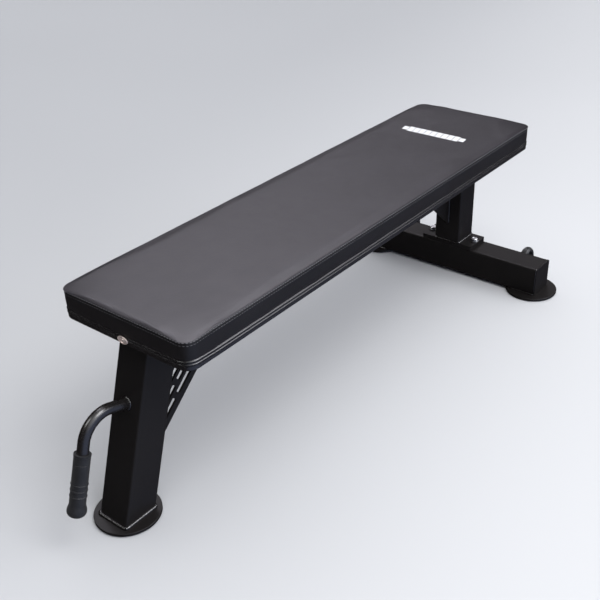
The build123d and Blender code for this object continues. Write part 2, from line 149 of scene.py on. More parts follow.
class Shader(Nodes):
    """A Principled material. Its constant inputs are given by name, with _ for a space."""

    def __init__(self, name, **constants):
        self.material = bpy.data.materials.new(name)
        self.material.use_nodes = True
        super().__init__(self.material.node_tree)
        self.bsdf = self.tree.nodes["Principled BSDF"]
        self.place = self.node("ShaderNodeTexCoord").outputs["Object"]
        for key, value in constants.items():
            self.bsdf.inputs[key.replace("_", " ")].default_value = value

    def noise(self, scale, detail, roughness=0.5, stretch=None):
        place = self.place
        if stretch is not None:
            place = self.node("ShaderNodeMapping", {"Vector": place, "Scale": stretch}).outputs["Vector"]
        inputs = {"Vector": place, "Scale": scale, "Detail": detail, "Roughness": roughness}
        return self.node("ShaderNodeTexNoise", inputs).outputs["Fac"]

    def cells(self, scale, feature="F1", randomness=1.0):
        inputs = {"Vector": self.place, "Scale": scale, "Randomness": randomness}
        return self.node("ShaderNodeTexVoronoi", inputs, feature=feature).outputs["Distance"]

    def ramp(self, factor, first, second, start=0.3, end=0.7):
        """From the first colour or grey to the second as the factor goes from start to end."""
        made = self.node("ShaderNodeValToRGB", {"Fac": factor})
        for element, position, shade in zip(made.color_ramp.elements, (start, end), (first, second)):
            element.position = position
            element.color = (*shade, 1) if isinstance(shade, tuple) else (shade, shade, shade, 1)
        return made.outputs["Color"]

    def colour(self, factor, first, second, start=0.3, end=0.7):
        """A ramp of two colours as the base colour."""
        self.fill(self.bsdf.inputs["Base Color"], self.ramp(factor, first, second, start, end))

    def roughness(self, factor, first, second, start=0.3, end=0.7):
        """A ramp of two numbers as the roughness."""
        self.fill(self.bsdf.inputs["Roughness"], self.ramp(factor, first, second, start, end))

    def bump(self, *layers):
        """Bumps on each other, each a height, its strength and its distance."""
        last = {}
        for height, strength, distance in layers:
            inputs = {"Height": height, "Strength": strength, "Distance": distance, **last}
            last = {"Normal": self.node("ShaderNodeBump", inputs).outputs["Normal"]}
        self.fill(self.bsdf.inputs["Normal"], last["Normal"])


# ---------------------------------------------------------------- studio

KEY_PLACE = Vector((0.2, 1.45, 2.6))
KEY_AIM = Vector((0.0, 0.1, 0.2))
KEY_SIZE = 1.3
KEY_POWER = 20
KEY_COLOUR = (1.0, 0.99, 0.97)

FLOOR_HALF = 14.0
FLOOR_DROP = 0.5 * MM         # clear of the rubber soles
FLOOR_SKEW = -0.25            # painted light falloff: the floor's tone follows Y and this share of X, palest towards the key light
FLOOR_SPAN = (-1.3, 0.9)      # where it is darkest and where it is palest
FLOOR_TONES = ((0.50, 0.51, 0.53), (0.685, 0.695, 0.715))

# The lit patches of the world: direction as seen from the bench, cosines of the angles off it
# at the patch's rim and at its full part, colour, and the only kind of ray that sees it, or
# None where every kind does
PATCHES = {
    "ceiling": ((-0.05, 0.55, 0.83), 0.60, 0.92, (1.22, 1.23, 1.255), None),
    "softbox": ((-0.46, -0.46, 0.76), 0.925, 0.99, (4.7, 4.55, 5.0), "Is Glossy Ray"),
    "front_strip": ((0.47, -0.40, 0.78), 0.96, 0.99, (4.5, 4.5, 4.5), "Is Glossy Ray"),
    "back_strip": ((-0.42, 0.55, 0.72), 0.88, 0.99, (6.0, 6.0, 6.4), "Is Glossy Ray"),
    "back_glow": ((-0.80, -0.10, 0.55), -0.35, 0.6, (1.02, 1.025, 1.04), "Is Diffuse Ray"),
    "left_wall": ((0.05, 0.98, -0.15), 0.35, 0.95, (0.29, 0.36, 0.57), None),
}
UNLIT = (0.004, 0.003, 0.003)      # what each patch gives outside its rim
BACKDROP = (0.60, 0.61, 0.63)      # what the camera sees beyond the floor


def make_key_light():
    """Soft square light above the bench's left side."""
    data = bpy.data.lights.new("light_key", "AREA")
    data.shape = "SQUARE"
    data.size = KEY_SIZE
    data.energy = KEY_POWER
    data.color = KEY_COLOUR
    light = bpy.data.objects.new("light_key", data)
    bpy.context.scene.collection.objects.link(light)
    light.location = KEY_PLACE
    light.rotation_mode = "QUATERNION"
    light.rotation_quaternion = (KEY_AIM - KEY_PLACE).to_track_quat("-Z", "Y")


def make_world():
    """The sum of the lit patches, and a plain backdrop for the camera."""
    world = bpy.data.worlds.new("studio")
    bpy.context.scene.world = world
    world.use_nodes = True
    made = Nodes(world.node_tree)
    way = made.node("ShaderNodeTexCoord").outputs["Generated"]
    rays = made.node("ShaderNodeLightPath").outputs
    total = None
    for name, (direction, rim, full, colour, ray) in PATCHES.items():
        towards = {0: way, 1: Vector(direction).normalized()}
        facing = made.node("ShaderNodeVectorMath", towards, operation="DOT_PRODUCT", label=name)
        share = made.span(facing.outputs["Value"], rim, full)
        if ray:
            share = made.maths("MULTIPLY", share, rays[ray])
        patch = made.mix(share, (*UNLIT, 1), (*colour, 1))
        total = patch if total is None else made.mix(1.0, total, patch, blend="ADD")
    seen = made.mix(rays["Is Camera Ray"], total, (*BACKDROP, 1))
    made.fill(world.node_tree.nodes["Background"].inputs["Color"], seen)


def floor_material():
    """Matt paper with faint clouds, and painted light: paler towards the bench's left, where the key light
    stands.
    """
    made = Shader("studio_paper", Roughness=0.9, Specular_IOR_Level=0.1)
    place = made.node("ShaderNodeSeparateXYZ", {0: made.place}).outputs
    across = made.maths("ADD", place["Y"], made.maths("MULTIPLY", place["X"], FLOOR_SKEW))
    # painted light: a dark-to-pale ramp across the floor, standing in for the key light's falloff
    paper_tone_and_painted_light = made.ramp(made.span(across, *FLOOR_SPAN), *FLOOR_TONES, start=0.0, end=1.0)
    clouds = made.ramp(made.noise(0.6, detail=1), 0.97, 1.0)
    made.fill(made.bsdf.inputs["Base Color"], made.mix(1.0, paper_tone_and_painted_light, clouds, blend="MULTIPLY"))
    return made.material


def make_floor():
    """A wide floor, which the bench doesn't mirror."""
    mesh = bpy.data.meshes.new("studio_floor")
    half = FLOOR_HALF
    corners = [(-half, -half, 0), (half, -half, 0), (half, half, 0), (-half, half, 0)]
    mesh.from_pydata(corners, [], [(0, 1, 2, 3)])
    floor = bpy.data.objects.new("studio_floor", mesh)
    bpy.context.scene.collection.objects.link(floor)
    floor.location.z = -FLOOR_DROP
    floor.data.materials.append(floor_material())
    floor.visible_glossy = False
    floor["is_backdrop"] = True


def make_studio():
    make_key_light()
    make_world()
    make_floor()
    bpy.context.scene.view_settings.view_transform = "Standard"


# ---------------------------------------------------------------- materials

def vinyl(name, dark, light, specular, rough=0.365):
    """Embossed leather-grain vinyl: pebbles with creases between them, and a soft sheen."""
    made = Shader(name, Specular_IOR_Level=specular, Sheen_Weight=0.03, Sheen_Roughness=0.4)
    made.colour(made.noise(9, detail=3), dark, light)
    made.roughness(made.noise(26, detail=3), rough - 0.035, rough + 0.035)
    creases = made.cells(560, feature="DISTANCE_TO_EDGE")
    made.bump(
        (made.noise(38, detail=2), 0.05, 2 * MM),
        (made.ramp(creases, 0.0, 1.0, start=0.0, end=0.22), 0.28, 0.2 * MM),
        (made.cells(820, feature="SMOOTH_F1"), 0.22, 0.2 * MM),
    )
    return made.material


def powder_coat(name, specular, rough):
    """Black powder coat with fine orange peel and faint uneven gloss."""
    made = Shader(name, Specular_IOR_Level=specular)
    made.colour(made.noise(7, detail=3), (0.0130, 0.0116, 0.0114), (0.0160, 0.0144, 0.0142))
    made.roughness(made.noise(45, detail=3), rough - 0.03, rough + 0.03)
    made.bump((made.noise(850, detail=2), 0.10, 0.3 * MM), (made.noise(2600, detail=1), 0.05, 0.1 * MM))
    return made.material


def rubber(name, tone, rough, grain):
    """Moulded rubber with faint dusty patches and a matt grain."""
    made = Shader(name, Specular_IOR_Level=0.35, Sheen_Weight=0.12, Sheen_Roughness=0.5)
    dusty = tuple(c * 1.5 + 0.004 for c in tone)
    made.colour(made.noise(55, detail=5, roughness=0.7), tone, dusty, start=0.35, end=0.75)
    made.roughness(made.noise(90, detail=3), rough - 0.06, rough + 0.06)
    made.bump((made.noise(grain, detail=2), 0.25, 0.3 * MM))
    return made.material


def plated(name, clean, dull, rough, metal=1.0):
    """Plated steel with faint brushed streaks and duller patches."""
    made = Shader(name, Metallic=metal)
    made.colour(made.noise(160, detail=4, roughness=0.65), clean, dull, start=0.35, end=0.75)
    streaks = made.noise(500, detail=2, stretch=(1, 1, 8))
    made.roughness(streaks, rough - 0.06, rough + 0.08)
    made.bump((streaks, 0.12, 0.1 * MM))
    return made.material


def plastic():
    """Black moulded plastic with a fine spark-eroded grain."""
    made = Shader("moulded_plastic", Specular_IOR_Level=0.45)
    made.colour(made.noise(40, detail=3), (0.020, 0.020, 0.022), (0.032, 0.032, 0.035))
    made.roughness(made.noise(220, detail=3), 0.38, 0.5)
    made.bump((made.noise(1400, detail=1), 0.1, 0.2 * MM))
    return made.material


def felt_sheet():
    """Thin non-woven cloth: pressed dots on matted fibres."""
    made = Shader("backing_felt", Specular_IOR_Level=0.1, Sheen_Weight=0.3, Sheen_Roughness=0.6)
    fibres = made.noise(900, detail=5, roughness=0.75)
    made.colour(fibres, (0.012, 0.012, 0.013), (0.035, 0.035, 0.038))
    made.roughness(fibres, 0.85, 0.97)
    dots = made.ramp(made.cells(330, randomness=0.15), 0.0, 1.0, start=0.12, end=0.3)
    made.bump((fibres, 0.4, 0.4 * MM), (dots, 0.5, 0.4 * MM))
    return made.material


def plywood():
    """Birch plywood, its grain along the board."""
    made = Shader("birch_ply", Specular_IOR_Level=0.3)
    grain = made.noise(30, detail=6, roughness=0.7, stretch=(1, 14, 14))
    made.colour(grain, (0.42, 0.27, 0.15), (0.62, 0.45, 0.28))
    made.roughness(grain, 0.6, 0.75)
    made.bump((grain, 0.2, 0.4 * MM))
    return made.material


def foam():
    """Open-pored upholstery foam."""
    made = Shader("upholstery_foam", Specular_IOR_Level=0.1)
    pores = made.cells(700)
    made.colour(pores, (0.28, 0.27, 0.22), (0.62, 0.6, 0.5), start=0.1, end=0.6)
    made.roughness(pores, 0.9, 0.97, start=0.1, end=0.6)
    made.bump((pores, 0.6, 0.6 * MM))
    return made.material


def print_ink():
    """White screen print with a few worn specks, on the vinyl's pebbles."""
    made = Shader("white_print", Specular_IOR_Level=0.35)
    specks = made.ramp(made.noise(420, detail=5, roughness=0.75), 0.0, 1.0, start=0.66, end=0.74)
    worn = made.mix(specks, (0.80, 0.81, 0.83, 1), (0.42, 0.42, 0.43, 1))
    made.fill(made.bsdf.inputs["Base Color"], worn)
    made.roughness(made.noise(200, detail=3), 0.42, 0.58)
    made.bump((made.cells(820, feature="SMOOTH_F1"), 0.15, 0.2 * MM))
    return made.material


def thread(name, dark, light):
    """Twisted sewing thread."""
    made = Shader(name, Specular_IOR_Level=0.3, Sheen_Weight=0.3, Sheen_Roughness=0.4)
    twist = made.noise(2600, detail=1)
    made.colour(twist, dark, light)
    made.roughness(twist, 0.5, 0.7)
    made.bump((twist, 0.4, 0.2 * MM))
    return made.material


def make_materials():
    """One material for each slot of the record, and the extra ones of this model."""
    return {
        "frame_paint": powder_coat("powder_coat", 0.16, 0.38),
        "handle_paint": powder_coat("handle_gloss_coat", 0.9, 0.27),
        "weld_paint": powder_coat("weld_powder_coat", 0.9, 0.20),
        "grip_rubber": rubber("grip_rubber", (0.012, 0.012, 0.0135), 0.48, 1500),
        "sole_rubber": rubber("sole_rubber", (0.010, 0.010, 0.010), 0.8, 700),
        "tyre_rubber": rubber("tyre_rubber", (0.010, 0.010, 0.011), 0.42, 1100),
        "plywood": plywood(),
        "foam": foam(),
        "vinyl": vinyl("top_vinyl", (0.018, 0.0165, 0.0205), (0.024, 0.022, 0.027), 0.5),
        # the trim's and the band's vinyl are darker copies of the top vinyl: painted shade on the pad's
        # sides
        "welt_vinyl": vinyl("trim_vinyl_painted_shade", (0.0115, 0.0105, 0.011), (0.0145, 0.0135, 0.014), 0.7, 0.14),
        "band_vinyl_painted_shade": vinyl("band_vinyl_painted_shade", (0.0120, 0.0108, 0.0115), (0.0150, 0.0138, 0.0148), 0.30),
        "felt": felt_sheet(),
        "white_print": print_ink(),
        "nickel": plated("nickel_plate", (1.0, 0.88, 0.82), (0.80, 0.62, 0.54), 0.20, metal=0.5),
        "zinc": plated("zinc_plate", (0.66, 0.67, 0.68), (0.46, 0.47, 0.48), 0.30),
        "hub_plastic": plastic(),
        "thread": thread("seam_thread", (0.11, 0.11, 0.12), (0.22, 0.22, 0.23)),
        "dark_thread": thread("dark_thread", (0.018, 0.018, 0.020), (0.035, 0.035, 0.038)),
    }


# ---------------------------------------------------------------- mesh helpers

def add_piece(name, mesh, material, smooth=True):
    """Links a mesh as a piece that rides on the frame, with its material."""
    for polygon in mesh.polygons:
        polygon.use_smooth = smooth
    piece = bpy.data.objects.new(name, mesh)
    bpy.context.scene.collection.objects.link(piece)
    piece.data.materials.append(MATERIALS[material])
    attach(piece, "frame")
    return piece


def mesh_from(name, points, faces, merge=1e-6):
    """Mesh with its double points merged and its faces turned the same way."""
    mesh = bpy.data.meshes.new(name)
    mesh.from_pydata(points, [], faces)
    work = bmesh.new()
    work.from_mesh(mesh)
    bmesh.ops.remove_doubles(work, verts=work.verts, dist=merge)
    bmesh.ops.dissolve_degenerate(work, dist=merge, edges=work.edges)
    bmesh.ops.recalc_face_normals(work, faces=work.faces)
    work.to_mesh(mesh)
    work.free()
    return mesh


def ring_mesh(name, rings, closed_profile=False, capped=False):
    """Surface through rings of the same number of points."""
    count = len(rings[0])
    points = [p for ring in rings for p in ring]
    faces = []
    last = len(rings) if closed_profile else len(rings) - 1
    for r in range(last):
        a, b = r * count, (r + 1) % len(rings) * count
        for i in range(count):
            j = (i + 1) % count
            faces.append((a + i, a + j, b + j, b + i))
    if capped:
        faces.append(tuple(range(count)))
        faces.append(tuple(last * count + i for i in range(count)))
    return mesh_from(name, points, faces)


def face_outwards(mesh, middle):
    """Turns all the faces round if most of them look towards the middle."""
    outwards = sum((p.center - middle).dot(p.normal) * p.area for p in mesh.polygons)
    if outwards < 0:
        mesh.flip_normals()
    return mesh


def spread(length, step):
    """Number of equal steps of about that length."""
    return max(1, round(length / step))


# ---------------------------------------------------------------- the pad's outline

SEAM_PULL = 0.9 * MM          # how far the corners draw the seam down
TRIM_RISE = 2.6 * MM          # and the lower trim up
CROWN_LOSS = 0.5              # share of the crown that is lost at the corners
CORNER_REACH = 85 * MM        # along the edges, on each side of a corner
PUCKER_LIFT = 0.6             # a pucker also lifts the cover by this share of its depth
SEAM_WAVES = (                # length per radian, phase and share of each wave along the seam
    (26.2 * MM, 0.0, 0.45), (11.3 * MM, 1.3, 0.3), (60.9 * MM, 0.4, 0.25),
)


def pad_outline(inset, corner=SEAM_CORNER, step=8 * MM, corner_steps=14, shrink=0.0):
    """Rows (x, y, outward normal, distance) round the pad, counter-clockwise.
    shrink from 0 to 1 closes the outline on the pad's middle line, with the same number of rows."""
    half_x, half_y = PAD_HALF.x - inset, PAD_HALF.y - inset
    radius = max(corner - inset, 1 * MM)
    straight_x, straight_y = half_x - radius, half_y - radius
    core_y, core_radius = straight_y * (1 - shrink), radius * (1 - shrink)
    core_x = straight_x + (radius - half_y) * shrink
    counts = spread(2 * (PAD_HALF.x - PAD_CORNER), step), spread(2 * (PAD_HALF.y - PAD_CORNER), step)
    rows, travelled = [], 0.0
    corners = [(core_x, core_y), (-core_x, core_y), (-core_x, -core_y), (core_x, -core_y)]
    for index, (x, y) in enumerate(corners):
        for i in range(corner_steps):
            angle = math.radians(90 * index + 90 * i / corner_steps)
            normal = Vector((math.cos(angle), math.sin(angle)))
            rows.append((x + core_radius * normal.x, y + core_radius * normal.y, normal, travelled))
            travelled += radius * math.pi / 2 / corner_steps
        end = math.radians(90 * (index + 1))
        normal = Vector((math.cos(end), math.sin(end)))
        next_x, next_y = corners[(index + 1) % 4]
        count = counts[index % 2]
        run = 2 * (straight_x if index % 2 == 0 else straight_y)
        for i in range(count):
            t = i / count
            edge_x = x + (next_x - x) * t + core_radius * normal.x
            edge_y = y + (next_y - y) * t + core_radius * normal.y
            rows.append((edge_x, edge_y, normal, travelled + run * t))
        travelled += run
    return rows


def walk_outline(inset, z, step, corner=PAD_CORNER):
    """Evenly spaced (place, direction, outward normal) along the pad's outline."""
    rows = pad_outline(inset, corner, step=4 * MM, corner_steps=24)
    loop = [Vector((PAD_MIDDLE.x + x, PAD_MIDDLE.y + y, z)) for x, y, _, _ in rows]
    normals = [Vector((n.x, n.y, 0)) for _, _, n, _ in rows]
    loop.append(loop[0])
    normals.append(normals[0])
    total = sum((b - a).length for a, b in zip(loop, loop[1:]))
    gap = total / round(total / step)
    target, travelled = 0.0, 0.0
    for a, b, normal_a, normal_b in zip(loop, loop[1:], normals, normals[1:]):
        span = (b - a).length
        while target < travelled + span - 1e-9:
            t = (target - travelled) / span
            yield a.lerp(b, t), (b - a).normalized(), normal_a.lerp(normal_b, t).normalized()
            target += gap
        travelled += span


def corner_radius(z):
    """Plan radius of the cover's corners at a height."""
    level = min(1.0, max(0.0, (z - PAD_BOTTOM) / (SEAM_Z - PAD_BOTTOM)))
    return PAD_CORNER + (SEAM_CORNER - PAD_CORNER) * level ** 1.5


def corner_lift(x, y, z):
    """How far a corner moves a point of the cover up, from its place on the pad and its height."""
    away = Vector((max(0.0, PAD_HALF.x - abs(x)), max(0.0, PAD_HALF.y - abs(y)))).length
    near = max(0.0, 1 - away / CORNER_REACH)
    near = near * near * (3 - 2 * near)
    level = max(0.0, (z - PAD_BOTTOM) / (SEAM_Z - PAD_BOTTOM))
    if level > 1:
        return -near * (SEAM_PULL + CROWN_LOSS * (z - SEAM_Z))
    rise = TRIM_RISE * math.sin(math.pi * min(1.0, 2 * level))
    return near * (rise - SEAM_PULL * level ** 2)


def seam_wave(distance):
    """Uneven pull of the stitching, between -1 and 1, over the distance round the pad."""
    return sum(math.sin(distance / length + phase) * share for length, phase, share in SEAM_WAVES)


def pad_ring(inset, z, pucker=0.0, shrink=0.0):
    """One ring of the pad at that inset and height; pucker moves it in and out a little."""
    ring = []
    for x, y, normal, distance in pad_outline(inset, corner_radius(z), shrink=shrink):
        push = pucker * seam_wave(distance)
        height = z + push * PUCKER_LIFT + corner_lift(x, y, z)
        ring.append((PAD_MIDDLE.x + x + normal.x * push, PAD_MIDDLE.y + y + normal.y * push, height))
    return ring


# ---------------------------------------------------------------- the pad's cover

COVER_THICKNESS = 1.0 * MM
ROLL_RISE = 3.9 * MM          # height of the rounded edge above the seam
ROLL_WIDTH = 4 * MM
CROWN_RISE = 0.7 * MM         # further rise near the edge
CROWN_WIDTH = 42 * MM
DOME_RISE = 0.8 * MM          # and over the whole width, which the cloth simulation makes
PANEL_DROP = 0.4 * MM         # of the whole top panel
# distances of the panel's rings inside the edge, in millimetres
PANEL_INSETS = (0.5, 0.7, 1.1, 1.8, 2.8, 4.2, 6.2, 9.5, 13.5, 18.5, 25, 33, 43)
PANEL_PUCKER = 0.28 * MM      # depth of the puckers at the seam
PUCKER_REACH = 30             # how far inside the seam they go, in millimetres
HELD_RINGS = 4                # of the top panel, at its seam

BAND_FOOT = PAD_BOTTOM + 9 * MM
BAND_TOP = SEAM_Z - 1.5 * MM
BAND_INSET = 1.5 * MM         # of the side band at its foot and top
BAND_BELLY = 1.0 * MM         # how far it stands out between them

BEADS = (15.6, 9.4)           # centres of the two beads above the underside, in millimetres
BEAD_RADIUS = 1.7

STITCH_PITCH = 6.6 * MM
STITCH_LENGTH = 4.4 * MM
STAPLE_PITCH = 34 * MM
STAPLE_INSET = 20 * MM
STAPLE_HALF = (5.2 * MM, 0.6 * MM, 0.45 * MM)   # half its length, width and height


def crown_height(inset, dome_rise):
    """Height of the top panel above its seam, at that distance inside the edge."""
    roll = 1 - (1 - min(inset / ROLL_WIDTH, 1)) ** 2
    crown = 1 - (1 - min(inset / CROWN_WIDTH, 1)) ** 2
    dome = 1 - (1 - min(inset / PAD_HALF.y, 1)) ** 2
    return ROLL_RISE * math.sqrt(max(roll, 0)) + CROWN_RISE * crown + dome_rise * dome


def inflate(piece, held, pressure, cap, frames=16):
    """Cloth simulation: the foam's pressure lifts the panel while the held points stay. The rise
    of a point never passes the cap. The result becomes the mesh."""
    mesh = piece.data
    pins = piece.vertex_groups.new(name="seam")
    pins.add(held, 1.0, "REPLACE")
    cloth = piece.modifiers.new("cloth", "CLOTH")
    settings = cloth.settings
    settings.vertex_group_mass = "seam"
    settings.quality = 5
    settings.tension_stiffness = 25
    settings.compression_stiffness = 25
    settings.shear_stiffness = 8
    settings.bending_stiffness = 0.6
    settings.use_pressure = True
    settings.uniform_pressure_force = pressure
    settings.effector_weights.gravity = 0
    cloth.collision_settings.use_collision = False
    cloth.point_cache.frame_start = 1
    cloth.point_cache.frame_end = frames
    scene = bpy.context.scene
    first = scene.frame_current
    for frame_number in range(1, frames + 1):
        scene.frame_set(frame_number)
    blown = piece.evaluated_get(bpy.context.evaluated_depsgraph_get())
    ends = [vertex.co.copy() for vertex in blown.data.vertices]
    piece.modifiers.remove(cloth)
    piece.vertex_groups.remove(pins)
    scene.frame_set(first)
    for vertex, end in zip(mesh.vertices, ends):
        move = end - vertex.co
        if move.length > 1e-9:
            vertex.co += move * (cap * math.tanh(move.length / cap) / move.length)
    mesh.update()


def thicken(piece):
    """Gives a sheet of the cover its thickness, inwards."""
    thick = piece.modifiers.new("thickness", "SOLIDIFY")
    thick.thickness = COVER_THICKNESS
    thick.offset = -1


def make_top_panel():
    """Crowned top panel, closed on the pad's middle line, turned in at its seam."""
    dome = 0.0
    rings = [pad_ring(2.6 * MM, SEAM_Z - 2.6 * MM), pad_ring(1.3 * MM, SEAM_Z - 1.0 * MM)]
    for inset in PANEL_INSETS:
        z = SEAM_Z + crown_height(inset * MM, dome) - PANEL_DROP
        pucker = PANEL_PUCKER * max(0.0, 1 - inset / PUCKER_REACH)
        rings.append(pad_ring(inset * MM, z, pucker=pucker))
    edge = PANEL_INSETS[-1] * MM
    steps = 12
    for step in range(1, steps + 1):
        share = step / steps
        z = SEAM_Z + crown_height(edge + (PAD_HALF.y - edge) * share, dome) - PANEL_DROP
        rings.append(pad_ring(edge, z, shrink=share))
    mesh = face_outwards(ring_mesh("pad_top_panel", rings), PAD_MIDDLE)
    panel = add_piece("pad_top_panel", mesh, "vinyl")
    inflate(panel, list(range(HELD_RINGS * len(rings[0]))), pressure=4.0, cap=DOME_RISE)
    thicken(panel)
    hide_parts("pad_cover", "pad_foam")
    return panel


def make_side_band():
    """Upright band between the top seam and the folded lower edge, drawn in at both seams."""
    rings = [pad_ring(3.2 * MM, BAND_FOOT - 1 * MM)]
    steps = 8
    for i in range(steps + 1):
        t = i / steps
        belly = math.sin(math.pi * t)
        inset = BAND_INSET - BAND_BELLY * belly ** 0.6
        z = BAND_FOOT + (BAND_TOP - BAND_FOOT) * t
        rings.append(pad_ring(inset, z, pucker=0.3 * MM * belly + 0.08 * MM))
    rings.append(pad_ring(2.6 * MM, SEAM_Z - 0.8 * MM))
    mesh = face_outwards(ring_mesh("pad_side_band", rings), PAD_MIDDLE)
    # the band's vinyl is darker than the top's: painted shade
    band = add_piece("pad_side_band", mesh, "band_vinyl_painted_shade")
    thicken(band)


def make_lower_trim():
    """Trim with two round beads and the rolled edge where the cover turns under the board."""
    # inset and height above the underside, in millimetres
    profile = [(3.0, 19.4), (0.7, 18.8)]
    for centre in BEADS:
        for i in range(7):
            angle = math.radians(75 - 150 * i / 6)
            profile.append((1.0 - BEAD_RADIUS * math.cos(angle), centre + BEAD_RADIUS * math.sin(angle)))
        profile.append((0.75, centre - 3.0))
    profile.append((0.2, 3.6))
    for i in range(7):
        angle = math.radians(90 * i / 6)
        profile.append((0.1 + 1.3 * (1 - math.cos(angle)), 1.5 - 1.4 * math.sin(angle)))
    profile += [(10.0, 0.3), (22.0, 0.2), (35.5, 0.1), (35.9, 0.7), (34.0, 1.0)]
    rings = [pad_ring(inset * MM, PAD_BOTTOM + z * MM) for inset, z in profile]
    mesh = face_outwards(ring_mesh("pad_lower_trim", rings), PAD_MIDDLE)
    # the trim's vinyl is darker than the top's: painted shade
    trim = add_piece("pad_lower_trim", mesh, "welt_vinyl")
    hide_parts("pad_welt")


def add_stitch(points, faces, centre, along, out, radius):
    """Adds a lens-shaped stitch lying on the surface."""
    side = along.cross(out).normalized()
    base = len(points)
    stations = (-0.5, -0.38, -0.15, 0.15, 0.38, 0.5)
    around = 6
    for station in stations:
        swell = radius * math.sqrt(max(0.06, 1 - (2 * station) ** 2 * 0.94))
        for k in range(around):
            angle = 2 * math.pi * k / around
            offset = side * math.cos(angle) * swell + out * math.sin(angle) * swell * 0.8
            points.append(centre + along * station * STITCH_LENGTH + offset)
    for s in range(len(stations) - 1):
        for k in range(around):
            a, b = base + s * around + k, base + s * around + (k + 1) % around
            faces.append((a, b, b + around, a + around))
    faces.append(tuple(base + k for k in reversed(range(around))))
    faces.append(tuple(base + (len(stations) - 1) * around + k for k in range(around)))


def make_stitches():
    """Three rows of stitches: along the top seam, on the band below it, and between the beads."""
    up = Vector((0, 0, 1))
    # inset, height, how far they face up, half thickness, corner radius and material
    rows = {
        "pad_stitches_seam": (0.45 * MM, SEAM_Z + 0.1 * MM, 0.45, 0.75 * MM, SEAM_CORNER, "thread"),
        "pad_stitches_band": (1.05 * MM, SEAM_Z - 6.6 * MM, 0.1, 0.40 * MM, SEAM_CORNER, "thread"),
        "pad_stitches_trim": (0.6 * MM, PAD_BOTTOM + 12.4 * MM, 0.1, 0.40 * MM, PAD_CORNER, "dark_thread"),
    }
    for name, (inset, z, tilt, radius, corner, material) in rows.items():
        points, faces = [], []
        for place, along, normal in walk_outline(inset, z, STITCH_PITCH, corner):
            out = (up * tilt + normal).normalized()
            place.z += corner_lift(place.x - PAD_MIDDLE.x, place.y, z)
            add_stitch(points, faces, place, along, out, radius)
        add_piece(name, mesh_from(name, points, faces, merge=1e-8), material)


def add_bar(points, faces, centre, half_a, half_b, half_c):
    """Adds a box, from its centre and half of each of its edges."""
    base = len(points)
    for i in (-1, 1):
        for j in (-1, 1):
            for k in (-1, 1):
                points.append(centre + half_a * i + half_b * j + half_c * k)
    for quad in ((0, 1, 3, 2), (4, 6, 7, 5), (0, 4, 5, 1), (2, 3, 7, 6), (0, 2, 6, 4), (1, 5, 7, 3)):
        faces.append(tuple(base + q for q in quad))


def make_staples():
    """Staples that hold the folded cover under the board, with soft edges."""
    points, faces = [], []
    up = Vector((0, 0, 1))
    for place, along, _ in walk_outline(STAPLE_INSET, PAD_BOTTOM, STAPLE_PITCH):
        across = along.cross(up)
        half_edges = [way * half for way, half in zip((along, across, up), STAPLE_HALF)]
        add_bar(points, faces, place, *half_edges)
    piece = add_piece("pad_staples", mesh_from("pad_staples", points, faces, merge=1e-8), "zinc")
    bevel = piece.modifiers.new("soft_edges", "BEVEL")
    bevel.width = 0.15 * MM
    bevel.segments = 2
    bevel.limit_method = "ANGLE"


# ---------------------------------------------------------------- the printed mark

MARK_BARS = 11
MARK_END_SHARE = 0.72         # size of the bars at the two ends
MARK_BAR_WIDTH = 0.91         # share of the pitch
MARK_SLANT = 0.3              # how far a bar leans along the row, as a share of the pitch
MARK_SUNK, MARK_PROUD = 0.3 * MM, 0.22 * MM


def make_mark(panel):
    """The slanting bars, laid on the crowned panel."""
    surface = BVHTree.FromObject(panel, bpy.context.evaluated_depsgraph_get())
    low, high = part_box("pad_mark")
    end_slant = MARK_SLANT * MARK_END_SHARE
    pitch = (high.y - low.y) / (MARK_BARS - 1 + MARK_BAR_WIDTH + end_slant)
    width = pitch * MARK_BAR_WIDTH
    middle, depth = (low.x + high.x) / 2, (high.x - low.x) / 2
    points, faces = [], []
    for i in range(MARK_BARS):
        share = MARK_END_SHARE if i in (0, MARK_BARS - 1) else 1.0
        slant, half = pitch * MARK_SLANT / 2 * share, depth * share
        start = low.y + pitch * (i + end_slant / 2)
        corners = [
            (middle - half, start - slant), (middle - half, start + width - slant),
            (middle + half, start + width + slant), (middle + half, start + slant),
        ]
        base = len(points)
        for lift in (-MARK_SUNK, MARK_PROUD):
            for x, y in corners:
                hit = surface.ray_cast(Vector((x, y, 1.0)), Vector((0, 0, -1)))[0]
                points.append(Vector((x, y, hit.z + lift)))
        for quad in ((3, 2, 1, 0), (4, 5, 6, 7), (0, 1, 5, 4), (1, 2, 6, 5), (2, 3, 7, 6), (3, 0, 4, 7)):
            faces.append(tuple(base + q for q in quad))
    mesh = mesh_from("pad_mark_bars", points, faces)
    mark = add_piece("pad_mark_bars", mesh, "white_print", smooth=False)
    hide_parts("pad_mark")


# ---------------------------------------------------------------- metal fittings

def make_eyelet():
    """Oval pressed eyelet: rolled rim, sunk dish and a domed rivet in its middle."""
    low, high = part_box("cover_eyelet")
    middle, half = (low + high) / 2, (high - low) / 2
    # share of the oval's size, and millimetres from its highest point
    profile = [
        (1.0, -2.4), (1.0, -1.0), (0.97, -0.35), (0.91, 0.0), (0.84, -0.25), (0.76, -1.1), (0.68, -1.9),
        (0.44, -2.0), (0.38, -1.6), (0.32, -0.75), (0.21, -0.25), (0.07, -0.1),
    ]
    around = 40
    rings = []
    for size, depth in profile:
        ring = []
        for k in range(around):
            angle = 2 * math.pi * k / around
            y, z = half.y * size * math.cos(angle), half.z * size * math.sin(angle)
            ring.append(Vector((high.x + depth * MM, middle.y + y, middle.z + z)))
        rings.append(ring)
    mesh = ring_mesh("cover_eyelet_pressed", rings, capped=True)
    eyelet = add_piece("cover_eyelet_pressed", mesh, "nickel")
    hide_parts("cover_eyelet")


HEAD_HALF = 8.5 * MM          # across the flats of the flange bolts' heads
HEAD_DEPTH = 6.4 * MM
SHANK_RADIUS = 5.0 * MM


